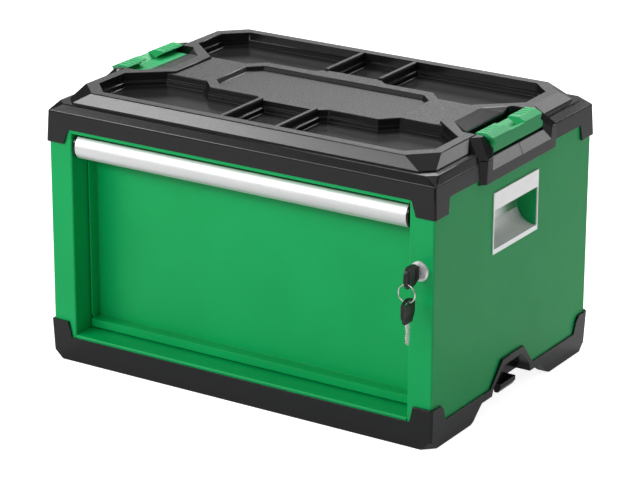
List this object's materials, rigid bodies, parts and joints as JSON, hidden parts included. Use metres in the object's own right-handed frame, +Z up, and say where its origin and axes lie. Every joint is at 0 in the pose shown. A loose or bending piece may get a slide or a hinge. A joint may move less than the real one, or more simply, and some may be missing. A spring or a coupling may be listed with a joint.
{
  "type": "stackable tool box with drawer",
  "caption": "Stackable steel tool box with a deep full-width drawer on telescopic slides, a moulded lid with trays and side latches, side grips and a keyed lock.",
  "frame": {"origin": "the middle of the steel body's footprint, on the plane that the feet stand on", "axes": "+X runs along the front to the lock side, -Y is the way the drawer opens, +Z is up"},
  "size_m": [0.5772, 0.4378, 0.3615],
  "materials": {
    "painted_steel": "smooth green powder coat, slightly glossy",
    "black_moulding": "black moulded plastic, fine leather-like grain",
    "green_moulding": "green moulded plastic, satin",
    "satin_aluminium": "satin anodised, silver",
    "zinc_steel": "bright zinc plated",
    "spring_steel": "drawn spring wire",
    "bright_chrome": "polished",
    "key_steel": "nickel plated, brushed",
    "key_plastic": "black, satin"
  },
  "bodies": {
    "cabinet": {"side_panel_left": "painted_steel", "side_panel_right": "painted_steel", "back_panel": "painted_steel", "floor_panel": "painted_steel", "top_panel": "painted_steel", "slide_carrier_left": "painted_steel", "slide_carrier_right": "painted_steel", "back_rivets": "zinc_steel", "top_cover": "black_moulding", "cover_screws": "zinc_steel", "base": "black_moulding", "base_screws": "zinc_steel", "base_catch_left": "black_moulding", "base_catch_right": "black_moulding", "catch_screws": "zinc_steel", "grip_left": "satin_aluminium", "grip_right": "satin_aluminium", "grip_cheeks_left": "painted_steel", "grip_cheeks_right": "painted_steel", "latch_pin_left": "zinc_steel", "latch_pin_right": "zinc_steel", "latch_spring_left": "spring_steel", "latch_spring_right": "spring_steel", "lock_barrel": "bright_chrome", "lock_nut": "zinc_steel", "slide_outer_left": "zinc_steel", "slide_outer_right": "zinc_steel", "outer_rail_screws": "zinc_steel"},
    "drawer": {"drawer_front": "painted_steel", "drawer_pull": "satin_aluminium", "pull_cap_left": "black_moulding", "pull_cap_right": "black_moulding", "pull_screws": "zinc_steel", "drawer_shell": "painted_steel", "drawer_back": "painted_steel", "drawer_rivets": "zinc_steel", "slide_inner_left": "zinc_steel", "slide_inner_right": "zinc_steel", "inner_rail_screws": "zinc_steel"},
    "rail_left": {"slide_middle_left": "zinc_steel"},
    "rail_right": {"slide_middle_right": "zinc_steel"},
    "left_latch": {"latch_left": "green_moulding"},
    "right_latch": {"latch_right": "green_moulding"},
    "lock_core": {"lock_plug": "bright_chrome", "lock_cam": "zinc_steel", "cam_screw": "zinc_steel", "key_blade": "key_steel", "key_bow": "key_plastic"},
    "ring": {"key_ring": "key_steel"},
    "spare_key": {"spare_key_blade": "key_steel", "spare_key_bow": "key_plastic"}
  },
  "joints": [
    {"name": "drawer_slide", "type": "slide", "parent": "cabinet", "child": "drawer", "axis": [0, -1, 0], "range_m": [0, 0.3]},
    {"name": "left_rail_slide", "type": "slide", "parent": "cabinet", "child": "rail_left", "axis": [0, -1, 0], "range_m": [0, 0.15]},
    {"name": "right_rail_slide", "type": "slide", "parent": "cabinet", "child": "rail_right", "axis": [0, -1, 0], "range_m": [0, 0.15]},
    {"name": "left_latch_tilt", "type": "hinge", "parent": "cabinet", "child": "left_latch", "pos_m": [-0.276, 0, 0.3425], "axis": [0, -1, 0], "range_deg": [0, 25], "stiffness_Nm_per_rad": 0.3, "springref_deg": -20.05, "deforming": ["latch_spring_left"]},
    {"name": "right_latch_tilt", "type": "hinge", "parent": "cabinet", "child": "right_latch", "pos_m": [0.276, 0, 0.3425], "axis": [0, 1, 0], "range_deg": [0, 25], "stiffness_Nm_per_rad": 0.3, "springref_deg": -20.05, "deforming": ["latch_spring_right"]},
    {"name": "lock_turn", "type": "hinge", "parent": "cabinet", "child": "lock_core", "pos_m": [0.2615, -0.197, 0.227], "axis": [0, -1, 0], "range_deg": [0, 90]},
    {"name": "ring_swing", "type": "hinge", "parent": "lock_core", "child": "ring", "pos_m": [0.2615, -0.227, 0.21925], "axis": [1, 0, 0], "range_deg": [-35, 8]},
    {"name": "spare_key_swing", "type": "hinge", "parent": "ring", "child": "spare_key", "pos_m": [0.2615, -0.227, 0.19685], "axis": [1, 0, 0], "range_deg": [-35, 6]}
  ],
  "couplings": [
    {"joint": "left_rail_slide", "follows": "drawer_slide", "ratio": 0.5},
    {"joint": "right_rail_slide", "follows": "drawer_slide", "ratio": 0.5}
  ]
}
